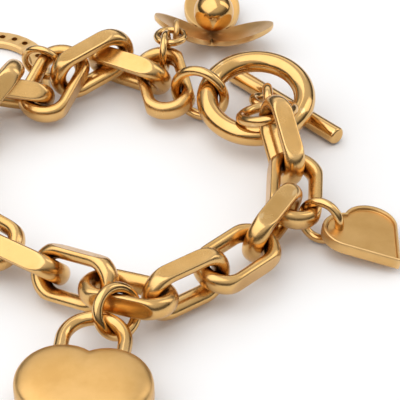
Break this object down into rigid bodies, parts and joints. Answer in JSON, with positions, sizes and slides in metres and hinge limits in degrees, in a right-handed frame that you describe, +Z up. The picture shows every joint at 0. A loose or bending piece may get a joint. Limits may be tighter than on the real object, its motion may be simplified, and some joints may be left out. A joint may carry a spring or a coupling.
{
  "type": "charm bracelet",
  "caption": "Chunky oval-link charm bracelet with a toggle clasp and padlock, heart tag, flower and horseshoe charms, lying in an open loop",
  "frame": {"origin": "centre of the bottom of the bounding box, on the surface the bracelet lies on", "axes": "+Z up, +X to the wearer-side right of the picture, +Y away from the camera"},
  "size_m": [0.0806, 0.1214, 0.0151],
  "materials": {
    "link_gold": "polished antique gold plate with filed flat sides",
    "polished_gold": "mirror-polished gold plate",
    "satin_gold": "satin gold plate"
  },
  "bodies": {
    "root": {"chain_link_01": "link_gold", "chain_link_02": "link_gold", "chain_link_03": "link_gold", "chain_link_04": "link_gold", "chain_link_05": "link_gold", "chain_link_06": "link_gold", "chain_link_07": "link_gold", "chain_link_08": "link_gold", "chain_link_09": "link_gold", "chain_link_10": "link_gold", "chain_link_11": "link_gold", "chain_link_12": "link_gold", "chain_link_13": "link_gold", "chain_link_14": "link_gold", "chain_link_15": "link_gold", "chain_link_16": "link_gold", "chain_link_17": "link_gold", "chain_link_18": "link_gold", "toggle_ring": "polished_gold", "toggle_bar": "polished_gold", "jump_ring_bar": "polished_gold", "jump_ring_link": "polished_gold", "jump_ring_toggle": "polished_gold", "padlock_shackle": "polished_gold", "padlock_ring": "polished_gold", "heart_tag_ring": "polished_gold", "flower_ring_upper": "polished_gold", "flower_ring_lower": "polished_gold", "horseshoe_ring": "polished_gold", "flower_ball": "polished_gold", "padlock_body": "satin_gold", "heart_tag": "satin_gold", "flower_petals": "satin_gold", "horseshoe_charm": "satin_gold"}
  },
  "joints": []
}
